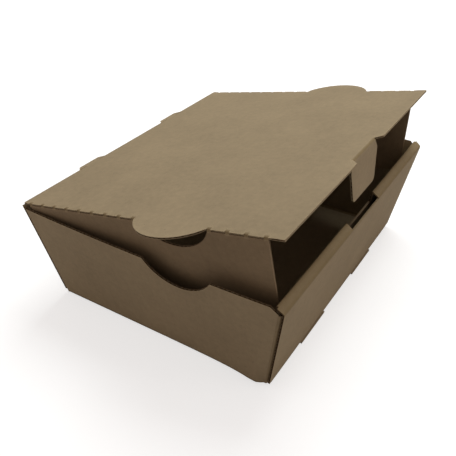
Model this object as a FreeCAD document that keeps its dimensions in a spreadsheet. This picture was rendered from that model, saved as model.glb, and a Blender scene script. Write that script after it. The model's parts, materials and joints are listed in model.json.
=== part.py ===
"""Folded corrugated tortilla box: a flared tray, a hinged lid, two side flaps and a lock tab.

The box is one die-cut blank of micro-corrugated board.  Its frame has +Z up, +X from the hinge
to the opening wall, +Y along the hinge, and its origin at the centre of the floor's underside.
The four walls lean outwards by the same flare.  Every fold keeps a sharp inside and a round
outside with the board's own thickness as radius.
"""
import FreeCAD, Part
import os
import re

import Sketcher

# ----------------------------------------------------------------------------- driving sizes
SIZES = {
    # board and folds
    "board": 1.5,             # thickness of the corrugated board
    "flare": 10,              # lean of all four walls, degrees from upright
    "layer_gap": 0.2,         # air between two layers of board that lie together
    "corner_relief": 3,       # cut back of the long walls at the floor's corners
    # tray
    "rim_length": 250,        # along the hinge, outside, at the side walls' rim
    "rim_width": 207,         # across, outside, at the side walls' rim
    "wall_height": 80,        # side walls' rim above the ground
    "thumb_place": 133,       # thumb cut-outs of the side walls, from the hinge wall
    "thumb_radius": 28,
    "thumb_depth": 15.3,
    "corner_tab_clear": 8.5,  # ends of the side walls' tuck-in tabs, from the lock tab's slot
    "corner_tab_root": 2.5,   # start of their free edges, from the corner
    "corner_tab_drop": 3,     # their top below the rim, at the corner
    "corner_tab_taper": 14,   # how much their long edges close in towards the free end
    # rolled-over opening wall
    "front_drop": 3.1,        # outer crease's inside corner below the rim
    "slot_gap": 3.5,          # clear width between the two layers at the top
    "strip_rise": 2.6,        # inner crease above the outer one
    "crown_stub": 0.3,        # start of the inner panel that is folded with the strip
    "foot_gap": 0.4,          # inner panel's foot above the floor
    "slot_play": 1,           # clearance of the lock tab's slot at each side of the tab
    "slot_notch": 5,          # depth of that slot in the inner panel, at least
    "slot_ease": 2.5,         # the same, past the place where the tab's tip still meets the panel
    "tongue_width": 38,       # two tongues at the inner panel's foot
    "tongue_place": 46,       # their centres from the middle
    "tongue_dip": 15,         # their slope below level, degrees
    "tongue_proud": 0.6,      # how far they stand out of the wall
    "tongue_play": 0.25,      # clearance of their slots
    # lid
    "lid_angle": 12,          # opened by this much, degrees
    "hinge_rise": 2.75,       # hinge axis above the rim
    "hinge_gap": 0.3,         # clearance of the hinged edges
    "lid_overhang": 0.6,      # lid's free edge past the opening wall, when shut
    "lobe_place": 130.5,      # thumb lobes' centres from the hinge axis
    "lobe_radius": 30.4,
    "lobe_depth": 16.3,
    "lug_length": 29,         # lugs past the hinge, at their root
    "lug_reach": 4,
    "lug_place": 52,          # their centres from the middle
    "lug_play": 0.4,          # clearance in the hinge wall's cut-outs
    # side flaps
    "flap_gap": 0.4,          # clearance to the side walls, when shut
    "flap_start": 6,          # first corner at the fold, from the hinge axis
    "flap_setback": 10.12,    # last corner at the fold, from the lid's free edge
    "flap_depth": 64,
    "flap_hinge_lean": 12.5,  # lean of the end beside the hinge, degrees
    "flap_free_lean": 9.5,    # lean of the free end, degrees
    "flap_round": 8,          # lower corners
    "flap_crease_gap": 0.2,   # start of the flap below its fold
    # lock tab
    "lock_width": 47,
    "lock_length": 31,        # from its hinge axis
    "lock_taper": 4.5,        # each side, towards the tip
    "lock_round": 4,          # tip corners
    "lock_play": 0.2,         # clearance to the opening wall, when shut
    "lock_spring": 4,         # how much less than the wall the tab leans, degrees
    "lock_shoulder": 4,       # each end of its crease, in from the tab's sides
    "lock_shoulder_drop": 7,  # start of the tab's full width below the crease
    "relief_width": 2.5,      # v-notches in the lid's edge, out from the tab's sides
}

doc = FreeCAD.newDocument("TortillaBox")
sheet = doc.addObject("Spreadsheet::Sheet", "Sizes")
for row, (alias, value) in enumerate(SIZES.items(), start=1):
    sheet.set(f"A{row}", alias)
    sheet.set(f"B{row}", str(value))
    sheet.setAlias(f"B{row}", alias)
doc.recompute()

ALIAS = re.compile(r"\b(" + "|".join(SIZES) + r")\b")

# ------------------------------------------------------------------- shared terms, as formulas
LEAN = "tan(flare)"
SKIN = "(board / cos(flare))"                         # a leaning board, measured level
LAYER = "((board + layer_gap) / cos(flare))"          # pitch of two leaning layers
REACH = 20                                            # surplus of cutting shapes, mm
WIDE = f"(rim_width + {REACH})"                       # past the box, along X
LONG = f"(rim_length + {REACH})"                      # past the box, along Y
HIGH = f"(wall_height + 2 * {REACH})"                 # above the tray


def half_x(height):
    """Outer face of the hinge wall and of the opening wall at a height, as a formula."""
    return f"(rim_width / 2 - (wall_height - ({height})) * {LEAN})"


def half_y(height):
    """Outer face of the side walls at a height, as a formula."""
    return f"(rim_length / 2 - (wall_height - ({height})) * {LEAN})"


HINGE_X = "(-rim_width / 2 - hinge_rise * tan(flare) + board / 2 / cos(flare))"
HINGE_Z = "(wall_height + hinge_rise)"
HINGE_STANDOFF = "(board / 2 / tan((90 - flare) / 2) + hinge_gap)"

FRONT_Z = "(wall_height - front_drop)"                # inside corner of the outer crease
FRONT_X = f"({half_x(FRONT_Z)} - {SKIN})"
CROWN_X = f"({FRONT_X} - slot_gap)"                   # inside corner of the inner crease
CROWN_Z = f"({FRONT_Z} + strip_rise)"
FOOT_Z = "(board + foot_gap)"                         # inner panel's foot, slot side
FOOT_X = f"({half_x(FOOT_Z)} - {SKIN} - (board + 2 * layer_gap) / cos(flare))"
PANEL_LEAN = f"atan(({CROWN_X} - {FOOT_X}) / ({CROWN_Z} - {FOOT_Z}))"
PANEL_LENGTH = f"sqrt(({CROWN_X} - {FOOT_X})^2 + ({CROWN_Z} - {FOOT_Z})^2)"

LID_REACH = f"(rim_width / 2 + lid_overhang - {HINGE_X})"
FOLD_Z = f"({HINGE_Z} - board / 2)"                   # lid's underside, when shut
FOLD_Y = (f"({half_y(f'{FOLD_Z} - board * sin(flare)')}"
          " - (board + flap_gap) / cos(flare) - board * cos(flare))")
LID_HALF = f"({FOLD_Y} + board)"
FLAP_END = f"({LID_REACH} - flap_setback)"
LOBE_Y = f"({LID_HALF} + lobe_depth - lobe_radius)"
LOBE_CHORD = "sqrt(lobe_radius^2 - (lobe_radius - lobe_depth)^2)"

LOCK_LEAN = "(flare - lock_spring)"
LOCK_TIP_Z = f"({HINGE_Z} - lock_length * cos({LOCK_LEAN}) - board / 2 * sin({LOCK_LEAN}))"
LOCK_X = (f"({FRONT_X} - ({FRONT_Z} - {LOCK_TIP_Z}) * {LEAN} - lock_play"
          f" + lock_length * sin({LOCK_LEAN}) - board / 2 * cos({LOCK_LEAN}) - {HINGE_X})")
LOCK_STANDOFF = f"(board / 2 / tan((90 - {LOCK_LEAN}) / 2) + hinge_gap)"
LOCK_CREASE = "(lock_width - 2 * lock_shoulder)"      # length of its crease

SLOT_WIDTH = "(lock_width + 2 * slot_play)"
TAB_END = f"({SLOT_WIDTH} / 2 + corner_tab_clear)"    # corner tabs' free ends, from the middle

# The tab's tip swings about the lid's hinge, and the inner panel is cut away down to where the
# tip still passes it and a little deeper, for the board above the tip: both are measured from
# the hinge axis, the panel square to its own face.
TIP_X = f"({LOCK_X} - lock_length * sin({LOCK_LEAN}) - board / 2 * cos({LOCK_LEAN}))"
TIP_Z = f"(board / 2 * sin({LOCK_LEAN}) - lock_length * cos({LOCK_LEAN}))"
TIP_REACH = f"sqrt({TIP_X}^2 + {TIP_Z}^2)"
PANEL_REACH = (f"(({CROWN_X} - {HINGE_X}) * cos({PANEL_LEAN})"
               f" - ({CROWN_Z} - {HINGE_Z}) * sin({PANEL_LEAN}) + layer_gap)")
TIP_PASS = f"({TIP_REACH} * sin({PANEL_LEAN} - acos({PANEL_REACH} / {TIP_REACH})))"
SLOT_DEPTH = (f"max(slot_notch; strip_rise + slot_gap * {LEAN}"
              f" + ({FRONT_Z} - {HINGE_Z} + {TIP_PASS}) / cos(flare) + slot_ease)")


# ------------------------------------------------------------------------------- small helpers
def formula(text):
    """Turn the sheet's bare names in a formula into references to its cells."""
    return ALIAS.sub(r"Sizes.\1", str(text))


def bind(obj, **formulas):
    """Bind an object's properties to formulas of the sheet's values."""
    for prop, text in formulas.items():
        obj.setExpression(prop, formula(text))
    return obj


def place(base=(0, 0, 0), axis=(0, 0, 1), angle=0):
    """Formula of a placement: a turn about an axis, moved to a point."""
    point = "; ".join(str(part) for part in base)
    turn = "; ".join(str(part) for part in axis)
    return f"placement(vector({point}); rotation(vector({turn}); {angle}))"


def chain(*placements):
    """Formula of placements applied one inside the other."""
    return " * ".join(placements)


def box(name, size, placement):
    """A box with its sizes and its placement bound to the sheet."""
    part = doc.addObject("Part::Box", name)
    return bind(part, Length=size[0], Width=size[1], Height=size[2], Placement=placement)


def room(name, low, high, frame=None):
    """A box between two corners, upright or in a frame of its own."""
    size = [f"({top}) - ({bottom})" for bottom, top in zip(low, high)]
    return box(name, size, chain(frame, place(low)) if frame else place(low))


def cylinder(name, radius, height, placement, sweep=360):
    """A cylinder or a sector of one, bound to the sheet."""
    part = doc.addObject("Part::Cylinder", name)
    return bind(part, Radius=radius, Height=height, Angle=sweep, Placement=placement)


def frustum(name, half_width, half_length, low, high):
    """An upright block whose half width and half length are functions of the height."""
    part = doc.addObject("Part::Wedge", name)
    bind(part, Ymin=low, Ymax=high,
         Xmin=f"-{half_width(low)}", Xmax=half_width(low),
         X2min=f"-{half_width(high)}", X2max=half_width(high),
         Zmin=f"-{half_length(low)}", Zmax=half_length(low),
         Z2min=f"-{half_length(high)}", Z2max=half_length(high))
    return bind(part, Placement=place(axis=(1, 0, 0), angle=90))


def trapezoid(name, root, tip, reach, half, placement):
    """A flat trapezoid: root along X at the origin, tip at +Y, half its thickness each way along Z."""
    part = doc.addObject("Part::Wedge", name)
    bind(part, Xmin=f"-({root}) / 2", Xmax=f"({root}) / 2", X2min=f"-({tip}) / 2",
         X2max=f"({tip}) / 2", Ymin=0, Ymax=reach,
         Zmin=f"-({half})", Zmax=half, Z2min=f"-({half})", Z2max=half)
    return bind(part, Placement=placement)


def fuse(name, shapes):
    """One shape from several."""
    part = doc.addObject("Part::MultiFuse", name)
    part.Shapes = shapes
    part.Refine = True
    return part


def cut(name, base, tools):
    """A shape with one or several others cut out of it."""
    part = doc.addObject("Part::Cut", name)
    part.Base = base
    part.Tool = tools[0] if len(tools) == 1 else fuse(f"{name}Tools", tools)
    part.Refine = True
    return part


def common(name, base, tool):
    """What two shapes share."""
    part = doc.addObject("Part::MultiCommon", name)
    part.Shapes = [base, tool]
    return part


def mirrored(name, source):
    """The same shape on the other side of the box's middle plane."""
    part = doc.addObject("Part::Mirroring", name)
    part.Source = source
    part.Normal = (0, 1, 0)
    return part


def outline(sketch, corners, closed):
    """Draw straight lines through corners that are bound to the sheet."""
    count = len(corners) if closed else len(corners) - 1
    guess = [FreeCAD.Vector(index, index * index + 1, 0) for index in range(len(corners))]
    for index in range(count):
        sketch.addGeometry(Part.LineSegment(guess[index], guess[(index + 1) % len(corners)]))
    for index in range(count - 1):
        sketch.addConstraint(Sketcher.Constraint("Coincident", index, 2, index + 1, 1))
    if closed:
        sketch.addConstraint(Sketcher.Constraint("Coincident", count - 1, 2, 0, 1))
    for index, corner in enumerate(corners):
        line, end = (index, 1) if index < count else (index - 1, 2)
        for kind, text in zip(("DistanceX", "DistanceY"), corner):
            start = getattr(guess[index], kind[-1].lower())
            number = sketch.addConstraint(Sketcher.Constraint(kind, -1, 1, line, end, start))
            sketch.setExpression(f"Constraints[{number}]", formula(text))
    return sketch


def section(name, axis, angle, corners, closed):
    """A free sketch of a section, stood up on one of the box's middle planes."""
    sketch = doc.addObject("Sketcher::SketchObject", name)
    sketch.Placement = FreeCAD.Placement(FreeCAD.Vector(), FreeCAD.Rotation(FreeCAD.Vector(axis), angle))
    return outline(sketch, corners, closed)


def extruded(name, base, length):
    """A section drawn out to both sides of its plane."""
    part = doc.addObject("Part::Extrusion", name)
    part.Base = base
    part.DirMode = "Normal"
    part.Solid = True
    part.Symmetric = True
    return bind(part, LengthFwd=length)


# ---------------------------------------------------------------------------------------- tray
def long_strip():
    """Hinge wall, floor, opening wall and rolled-over strip: one folded run of board."""
    corners = [
        (f"{HINGE_X} + {HINGE_STANDOFF} * sin(flare) + board / 2 * cos(flare)",
         f"{HINGE_Z} - {HINGE_STANDOFF} * cos(flare) + board / 2 * sin(flare)"),
        (f"-({half_x('board')} - {SKIN})", "board"),
        (f"{half_x('board')} - {SKIN}", "board"),
        (FRONT_X, FRONT_Z),
        (CROWN_X, CROWN_Z),
        (f"{CROWN_X} - crown_stub * sin({PANEL_LEAN})", f"{CROWN_Z} - crown_stub * cos({PANEL_LEAN})"),
    ]
    inside = section("LongStripInside", (1, 0, 0), 90, corners, closed=False)
    folded = doc.addObject("Part::Offset2D", "LongStripSection")
    folded.Source = inside
    folded.Mode = "Skin"
    folded.Join = "Arc"
    folded.Fill = True
    bind(folded, Value="-board")
    run = extruded("LongStripRun", folded, f"2 * {LONG}")

    walls = frustum("LongWallsTrim", lambda height: WIDE, half_y, "corner_relief", HIGH)
    floor_half = f"({half_y(0)} - corner_relief)"
    floor = room("LongFloorTrim", (f"-{WIDE}", f"-{floor_half}", -REACH), (WIDE, floor_half, "corner_relief"))
    trimmed = common("LongStrip", run, fuse("LongTrim", [walls, floor]))
    return cut("CutStrip", trimmed, lug_cuts())


def lug_cuts():
    """Cut-outs at the hinge wall's top, which the lid's lugs were cut from."""
    cuts = []
    for side, name in ((-1, "Near"), (1, "Far")):
        cuts.append(trapezoid(f"{name}LugCut", "lug_length + 2 * lug_play",
                              "lug_length - 2 * lug_reach + 2 * lug_play", "lug_reach + lug_play", "board",
                              chain(place((HINGE_X, f"{side} * lug_place", HINGE_Z), (0, 1, 0), "-flare"),
                                    place(axis=(1, 0, 0), angle=-90),
                                    place(axis=(0, 1, 0), angle=90))))
    return cuts


def side_wrap():
    """Floor and side walls with the tuck-in tabs at their ends, folded round the inside."""
    inside = frustum("WrapInside", wrap_half, lambda height: f"({half_y(height)} - {SKIN})",
                     "board", "wall_height")
    doc.recompute()
    top = max(range(len(inside.Shape.Faces)), key=lambda index: inside.Shape.Faces[index].CenterOfMass.z)
    shell = doc.addObject("Part::Thickness", "WrapShell")
    shell.Faces = (inside, [f"Face{top + 1}"])
    shell.Join = "Arc"
    bind(shell, Value="board")

    tab = [
        ("-(rim_length / 2 - corner_tab_root)", HIGH),
        ("-(rim_length / 2 - corner_tab_root)", "wall_height - corner_tab_drop"),
        (f"-{TAB_END}", "wall_height - corner_tab_drop - corner_tab_taper"),
        (f"-{TAB_END}", "board + corner_tab_taper"),
        (f"-({half_y('board')} - corner_tab_root)", "board + layer_gap"),
        (f"-({half_y('board')} - corner_tab_root)", "board"),
    ]
    other = [(text[1:], height) for text, height in reversed(tab)]
    window = extruded("WrapWindow", section("WrapWindowOutline", (1, 1, 1), 120, tab + other, closed=True),
                      f"2 * {WIDE}")
    bevel = room("StripBevel", ("-board", f"-{LONG}", 0), (REACH, LONG, REACH),
                 place((f"{CROWN_X} - 2 * board", 0, "wall_height - board / 2"), (0, 1, 0),
                       "atan(strip_rise / slot_gap)"))
    return cut("SideWrap", shell, [window, bevel, thumb_cut("NearThumbCut", -1), thumb_cut("FarThumbCut", 1)])


def wrap_half(height):
    """Inside of the side walls' tuck-in tabs at a height, which is also how long the walls are."""
    return f"({half_x(height)} - {LAYER} - {SKIN})"


def thumb_cut(name, side):
    """Cylinder square to a side wall that leaves its half-round thumb cut-out."""
    lift = "(thumb_radius - thumb_depth)"
    return cylinder(name, "thumb_radius", REACH, chain(
        place(("thumb_place - rim_width / 2",
               f"{side} * (rim_length / 2 + {lift} * sin(flare))",
               f"wall_height + {lift} * cos(flare)"), (1, 0, 0), f"{-side} * (90 + flare)"),
        place((0, 0, -REACH / 2))))


def tongue(name, side, play):
    """One of the two tongues at the inner panel's foot, or its slot when some play is added."""
    length = f"({half_x(FOOT_Z)} - {FOOT_X} + board) / cos(tongue_dip) + tongue_proud"
    return room(name, (0, f"-tongue_width / 2 - {play}", f"-{play}"),
                (f"{length} + 2 * {play}", f"tongue_width / 2 + {play}", f"board + {play}"),
                place((f"{FOOT_X} - board", f"{side} * tongue_place", FOOT_Z), (0, 1, 0), "tongue_dip"))


def tray():
    """The folded tray, parted at its creases: the far half of what comes in pairs is mirrored."""
    strip = long_strip()
    wrap = side_wrap()
    wall_frame = place((FRONT_X, 0, FRONT_Z), (0, 1, 0), "flare")
    panel_frame = place((CROWN_X, 0, CROWN_Z), (0, 1, 0), PANEL_LEAN)
    below = room("FloorRoom", (f"-{WIDE}", f"-{LONG}", -REACH), (WIDE, LONG, "board"))
    slots = [tongue("NearTongueSlot", -1, "tongue_play"), tongue("FarTongueSlot", 1, "tongue_play")]
    floor = cut("Floor", common("FloorBoard", fuse("FloorLayers", [strip, wrap]), below), slots)
    hinge_room = room("HingeRoom", (f"-{WIDE}", f"-{LONG}", "board"), (0, LONG, HIGH))
    hinge_wall = common("HingeWall", strip, hinge_room)
    outer_room = room("OuterRoom", (0, f"-{LONG}", f"-{HIGH}"), (REACH, LONG, REACH), wall_frame)
    slot_mouth = room("SlotMouth", (-REACH, f"-{SLOT_WIDTH} / 2", 0), (REACH, f"{SLOT_WIDTH} / 2", REACH),
                      wall_frame)
    opening_wall = cut("OpeningWall", common("OpeningRun", strip, outer_room), [below, slot_mouth, *slots])

    # inner layer of the opening wall, narrower than the tray, hung from the two halves of the strip;
    # the lock tab's slot takes the whole strip away, with its outer crease, and notches this layer
    board_run = room("PanelRun", ("-board", f"-{LONG}", f"-{PANEL_LENGTH}"), (0, LONG, 0), panel_frame)
    panel_trim = frustum("PanelTrim", lambda height: WIDE,
                         lambda height: f"({half_y(height)} - {LAYER})", 0, HIGH)
    slot = room("LockSlot", (-REACH / 2, f"-{SLOT_WIDTH} / 2", f"strip_rise - {SLOT_DEPTH}"),
                (0, f"{SLOT_WIDTH} / 2", REACH), wall_frame)
    inner_panel = cut("InnerPanel", common("PanelBoard", board_run, panel_trim), [slot])
    strip_room = room("StripRoom", (-REACH, f"-{LONG}", -REACH), (0, f"-{SLOT_WIDTH} / 2", REACH), wall_frame)
    top_strip = cut("TopStrip", common("StripRun", strip, strip_room), [board_run])
    behind = room("BehindPanel", (-REACH, f"-{LONG}", f"-{HIGH}"), (0, LONG, 0), panel_frame)
    foot_tongue = cut("FootTongue", tongue("TongueBoard", -1, 0), [behind])

    # near side wall and the tabs at its ends
    near_side = common("NearSide", wrap, room("NearRoom", (f"-{WIDE}", f"-{LONG}", "board"), (WIDE, 0, HIGH)))
    wall_room = frustum("SideWallRoom", wrap_half, lambda height: LONG, "board", HIGH)
    side_wall = common("SideWall", near_side, wall_room)
    tabs = cut("CornerTabs", near_side, [wall_room])
    rear_tab = common("RearTab", tabs, room("RearRoom", (f"-{WIDE}", f"-{LONG}", 0), (0, 0, HIGH)))
    front_tab = common("FrontTab", tabs, room("FrontRoom", (0, f"-{LONG}", 0), (WIDE, 0, HIGH)))

    pairs = {"side_wall": side_wall, "rear_tab": rear_tab, "front_tab": front_tab,
             "top_strip": top_strip, "tongue": foot_tongue}
    nodes = {"floor": floor, "hinge_wall": hinge_wall,
             "opening_wall": opening_wall, "inner_panel": inner_panel}
    for name, part in pairs.items():
        nodes[f"near_{name}"] = part
        nodes[f"far_{name}"] = mirrored(f"Far{part.Name}", part)
    return nodes


# ----------------------------------------------------------------------------------------- lid
LID_PLACE = place((HINGE_X, 0, HINGE_Z), (0, 1, 0), "-lid_angle")


def lid():
    """Lid board with thumb lobes and hinge lugs, in its own frame on the hinge axis."""
    core = room("LidCore", (0, f"-{FOLD_Y}", "-board / 2"), (LID_REACH, FOLD_Y, "board / 2"))
    nose = cylinder("HingeNose", "board / 2", f"2 * {FOLD_Y}", place((0, FOLD_Y, 0), (1, 0, 0), 90))
    pieces = [core, nose]
    lobe_start = f"(lobe_place - {LOBE_CHORD})"
    lobe_end = f"(lobe_place + {LOBE_CHORD})"
    for side, name in ((-1, "Near"), (1, "Far")):
        pieces.append(cylinder(f"{name}Lobe", "lobe_radius", "board",
                               place(("lobe_place", f"{side} * {LOBE_Y}", "-board / 2"))))
        pieces.append(trapezoid(f"{name}Lug", "lug_length", "lug_length - 2 * lug_reach", "lug_reach",
                                "board / 2", place((0, f"{side} * lug_place", 0), (0, 0, 1), 90)))
        pieces.append(round_fold(f"{name}HingeFold", side, "flap_start", lobe_start))
        pieces.append(round_fold(f"{name}FreeFold", side, lobe_end, FLAP_END))
        inner, outer = (FOLD_Y, LID_HALF) if side > 0 else (f"-{LID_HALF}", f"-{FOLD_Y}")
        pieces.append(room(f"{name}HingeEdge", ("board", inner, "-board / 2"),
                           ("flap_start", outer, "board / 2")))
        pieces.append(room(f"{name}FreeEdge", (FLAP_END, inner, "-board / 2"),
                           (LID_REACH, outer, "board / 2")))
    board = fuse("LidBoard", pieces)

    window = trapezoid("LockWindow", LOCK_CREASE, "lock_width + 2 * relief_width",
                       f"{LID_REACH} - {LOCK_X}", REACH, place((LOCK_X, 0, 0), (0, 0, 1), -90))
    nose = cylinder("LockNose", "board / 2", LOCK_CREASE,
                    place((LOCK_X, f"{LOCK_CREASE} / 2", 0), (1, 0, 0), 90))
    part = fuse("Lid", [cut("LidCut", board, [window]), nose])
    return bind(part, Placement=LID_PLACE)


def round_fold(name, side, start, end):
    """Round outside of a side flap's crease, along the lid's edge from start to end."""
    along, turn = (end, -90) if side > 0 else (start, 90)
    return cylinder(name, "board", f"{end} - {start}", chain(
        place((along, f"{side} * {FOLD_Y}", "-board / 2"), (0, 0, 1), turn),
        place(axis=(1, 0, 0), angle=90),
        place(axis=(0, 0, 1), angle=90)), sweep=90)


# ------------------------------------------------------------------------- flaps and lock tab
def board_body(name, corners, hole, fillet, corner_numbers):
    """A flat piece of board: an outline padded to the board's thickness, with round corners."""
    body = doc.addObject("PartDesign::Body", name)
    plane = next(item for item in body.Origin.OriginFeatures if item.Role == "XY_Plane")
    sketch = body.newObject("Sketcher::SketchObject", f"{name}Outline")
    sketch.AttachmentSupport = (plane, [""])
    sketch.MapMode = "FlatFace"
    outline(sketch, corners, closed=True)
    pad = body.newObject("PartDesign::Pad", f"{name}Pad")
    pad.Profile = sketch
    bind(pad, Length="board")
    doc.recompute()
    ends = [sketch.Geometry[number].StartPoint for number in corner_numbers]
    edges = [f"Edge{index + 1}" for index, edge in enumerate(pad.Shape.Edges)
             if all(any(abs(vertex.X - end.x) + abs(vertex.Y - end.y) < 0.01 for end in ends)
                    for vertex in edge.Vertexes) and edge.tangentAt(edge.FirstParameter).z ** 2 > 0.5]
    rounded = body.newObject("PartDesign::Fillet", f"{name}Round")
    rounded.Base = (pad, edges)
    bind(rounded, Radius=fillet)
    body.Tip = rounded
    if hole:
        circle = body.newObject("Sketcher::SketchObject", f"{name}HoleOutline")
        circle.AttachmentSupport = (plane, [""])
        circle.MapMode = "FlatFace"
        circle.addGeometry(Part.Circle(FreeCAD.Vector(1, 1, 0), FreeCAD.Vector(0, 0, 1), 1))
        for number, (kind, text) in enumerate(zip(("DistanceX", "DistanceY", "Radius"), hole)):
            ends = (-1, 1, 0, 3, 1) if kind != "Radius" else (0, 1)
            circle.addConstraint(Sketcher.Constraint(kind, *ends))
            circle.setExpression(f"Constraints[{number}]", formula(text))
        pocket = body.newObject("PartDesign::Pocket", f"{name}Hole")
        pocket.Profile = circle
        pocket.Type = "ThroughAll"
        pocket.Midplane = True
        body.Tip = pocket
    return body


def side_flap():
    """Near side flap in a frame on its fold: X along the fold, Y down the flap."""
    corners = [
        ("flap_start", "flap_crease_gap"),
        (FLAP_END, "flap_crease_gap"),
        (f"{FLAP_END} - flap_depth * tan(flap_free_lean)", "flap_depth"),
        ("flap_start + flap_depth * tan(flap_hinge_lean)", "flap_depth"),
    ]
    hole = ("lobe_place", "board + lobe_depth - lobe_radius", "lobe_radius")
    return board_body("SideFlap", corners, hole, "flap_round", (2, 3))


def lock_tab():
    """Lock tab in a frame on its crease: Y along the crease, X down the tab."""
    corners = [
        (LOCK_STANDOFF, f"-{LOCK_CREASE} / 2"),
        ("lock_shoulder_drop", "-lock_width / 2"),
        ("lock_length", "-lock_width / 2 + lock_taper"),
        ("lock_length", "lock_width / 2 - lock_taper"),
        ("lock_shoulder_drop", "lock_width / 2"),
        (LOCK_STANDOFF, f"{LOCK_CREASE} / 2"),
    ]
    return board_body("LockTab", corners, None, "lock_round", (2, 3))


# ---------------------------------------------------------------------------------- assembly
flap = side_flap()
NEAR_FOLD = chain(LID_PLACE, place((0, f"-{FOLD_Y}", "-board / 2"), (1, 0, 0), "-(90 - flare)"),
                  place((0, 0, "-board")))
bind(flap, Placement=NEAR_FOLD)
far_flap = mirrored("FarFlap", flap)
tab = lock_tab()
bind(tab, Placement=chain(LID_PLACE, place((LOCK_X, 0, 0), (0, 1, 0), f"90 + {LOCK_LEAN}"),
                          place((0, 0, "-board / 2"))))

NODES = {
    **tray(),
    "lid": lid(),
    "near_side_flap": flap,
    "far_side_flap": far_flap,
    "lock_tab": tab,
}
for label, part in NODES.items():
    part.Label = label
doc.recompute()

for item in doc.Objects:
    if "Invalid" in item.State or "Error" in item.State:
        raise RuntimeError(f"{item.Name} did not build: {item.State}")
for label, part in NODES.items():
    shape = part.Shape
    if shape.isNull() or not shape.isValid() or len(shape.Solids) != 1:
        raise RuntimeError(f"{label} is not one valid solid")

os.makedirs("parts", exist_ok=True)
for label, part in NODES.items():
    part.Shape.exportStep(f"parts/{label}.step")
    room = part.Shape.BoundBox
    print(f"{label}: {part.Shape.Volume / 1000:.1f} cm3,"
          f" x {room.XMin:.1f}..{room.XMax:.1f}, y {room.YMin:.1f}..{room.YMax:.1f},"
          f" z {room.ZMin:.1f}..{room.ZMax:.1f}")
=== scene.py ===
"""Looks of a folded take-away box of corrugated kraft board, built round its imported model.

Every piece of board is a grid over its middle surface.  Two thin liners lie on both sides of it,
and along its cut edges the wavy medium between them is there to be seen.  Sizes are millimetres,
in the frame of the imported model, until a mesh is made.
"""
import json
import logging
import math
from dataclasses import dataclass, field
from enum import Enum
from functools import cache
from typing import ClassVar

import bmesh
import bpy
import numpy as np
from bpy.types import ID, Material, Node, NodeSocket, Object
from mathutils import Matrix, Vector


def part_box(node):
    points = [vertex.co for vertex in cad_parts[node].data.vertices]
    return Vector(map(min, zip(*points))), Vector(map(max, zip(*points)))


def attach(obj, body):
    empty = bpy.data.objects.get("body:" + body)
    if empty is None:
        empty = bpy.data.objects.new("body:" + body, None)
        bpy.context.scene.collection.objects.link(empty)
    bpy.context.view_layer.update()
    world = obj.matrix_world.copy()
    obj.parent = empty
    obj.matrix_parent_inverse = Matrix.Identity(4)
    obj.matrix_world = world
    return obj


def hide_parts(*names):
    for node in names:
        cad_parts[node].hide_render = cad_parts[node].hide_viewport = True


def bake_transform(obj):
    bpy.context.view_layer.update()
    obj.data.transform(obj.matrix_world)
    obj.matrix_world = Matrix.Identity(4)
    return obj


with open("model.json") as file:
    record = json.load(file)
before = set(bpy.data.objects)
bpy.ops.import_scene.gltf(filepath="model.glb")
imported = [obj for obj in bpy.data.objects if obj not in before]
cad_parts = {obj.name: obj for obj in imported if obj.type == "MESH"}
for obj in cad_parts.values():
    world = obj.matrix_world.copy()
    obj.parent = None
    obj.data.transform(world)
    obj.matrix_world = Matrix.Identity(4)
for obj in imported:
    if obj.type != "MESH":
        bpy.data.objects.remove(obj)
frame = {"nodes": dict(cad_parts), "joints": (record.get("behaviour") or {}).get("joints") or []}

LOG = logging.getLogger("tortilla_box")
MM = 0.001
NEAR = 0.01                      # slack of comparisons between places, mm
Array = np.ndarray
Values = Array | float
Pair, Triple = tuple[float, float], tuple[float, float, float]


# -------------------- shader graphs
class Wire:
    """An output socket that takes part in Python arithmetic, where each step adds a Math node."""

    def __init__(self, graph: "Graph", socket: NodeSocket) -> None:
        """Keep the socket and the graph that it belongs to."""
        self.graph, self.socket = graph, socket

    def math(self, operation: str, *others: "Wire | float") -> "Wire":
        """One Math node on this value and others."""
        return self.graph.wire("ShaderNodeMath", {"operation": operation}, dict(enumerate((self, *others))))

    def __add__(self, other: "Wire | float") -> "Wire":
        """Sum."""
        return self.math("ADD", other)

    def __sub__(self, other: "Wire | float") -> "Wire":
        """Difference."""
        return self.math("SUBTRACT", other)

    def __rsub__(self, other: float) -> "Wire":
        """Difference from a number."""
        return self.math("MULTIPLY_ADD", -1.0, other)

    def __mul__(self, other: "Wire | float") -> "Wire":
        """Product."""
        return self.math("MULTIPLY", other)

    __radd__, __rmul__ = __add__, __mul__

    def smooth(self, low: float, high: float) -> "Wire":
        """Smooth step from 0 at one value to 1 at another."""
        return self.graph.wire("ShaderNodeMapRange", {"interpolation_type": "SMOOTHSTEP"},
                               {"Value": self, "From Min": low, "From Max": high})


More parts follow.
